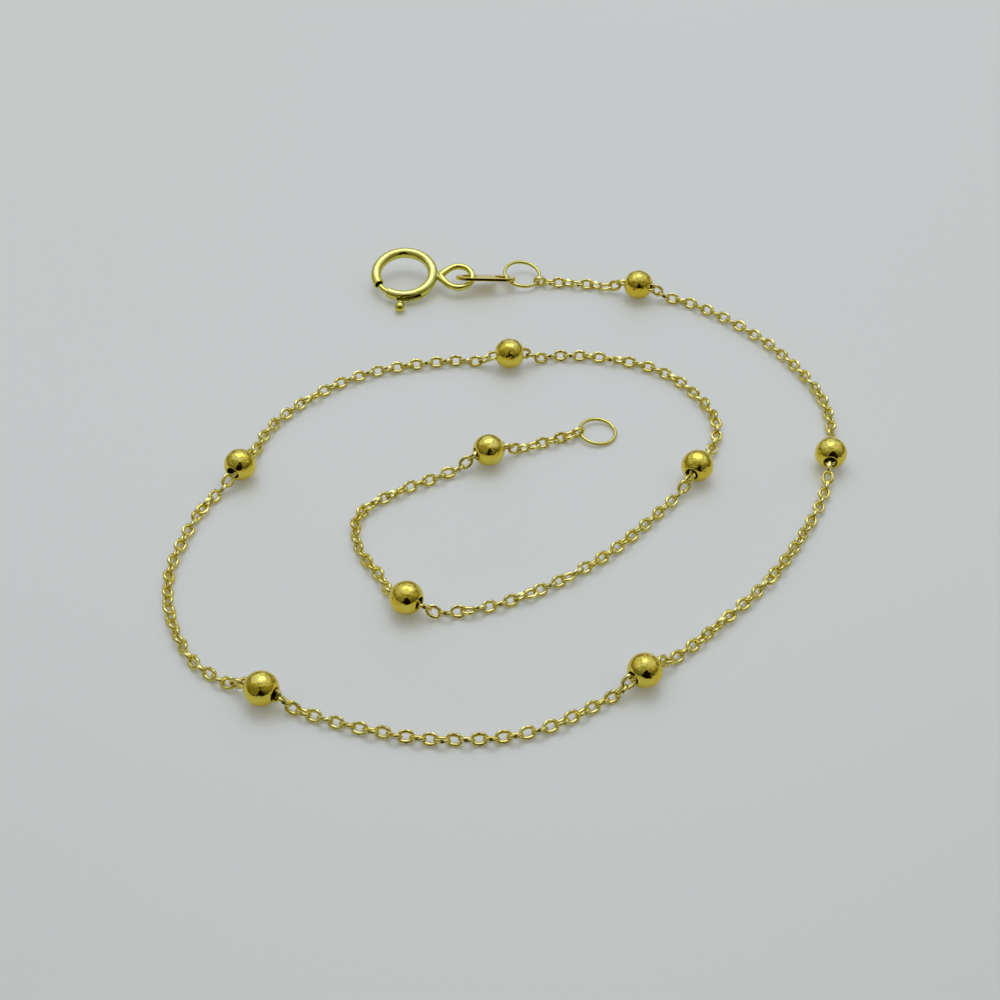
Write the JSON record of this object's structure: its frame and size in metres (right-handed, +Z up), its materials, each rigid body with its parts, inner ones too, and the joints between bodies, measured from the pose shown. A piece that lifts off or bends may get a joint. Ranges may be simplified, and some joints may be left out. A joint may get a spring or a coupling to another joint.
{
  "type": "chain anklet",
  "caption": "Fine yellow-gold cable chain anklet with hollow polished ball beads along it, a spring ring clasp, tag and rings, lying open in a loose spiral.",
  "frame": {"origin": "bottom centre of the overall box, on the surface that the anklet lies on", "axes": "+Z up from the surface; +X to the right and +Y away, as seen by someone who looks at the anklet with its clasp at the far left"},
  "size_m": [0.0515, 0.0544, 0.0025],
  "materials": {
    "gold_chain": "polished yellow gold, diamond-cut glints",
    "gold_bead": "mirror-polished yellow gold",
    "gold_clasp": "polished yellow gold"
  },
  "bodies": {
    "anklet": {"chain_outer": "gold_chain", "chain_inner": "gold_chain", "bead_1": "gold_bead", "bead_2": "gold_bead", "bead_3": "gold_bead", "bead_4": "gold_bead", "bead_5": "gold_bead", "bead_6": "gold_bead", "bead_7": "gold_bead", "bead_8": "gold_bead", "bead_9": "gold_bead", "spring_ring": "gold_clasp", "tag": "gold_clasp", "jump_ring": "gold_clasp", "end_ring": "gold_clasp"},
    "bolt": {"bolt": "gold_clasp"}
  },
  "joints": [
    {"name": "bolt_slide_round", "type": "hinge", "parent": "anklet", "child": "bolt", "pos_m": [-0.00964, 0.02436, 0.00125], "axis": [0, -0.2164, 0.9763], "range_deg": [0, 30], "stiffness_Nm_per_rad": 0.003, "springref_deg": -11.46}
  ]
}
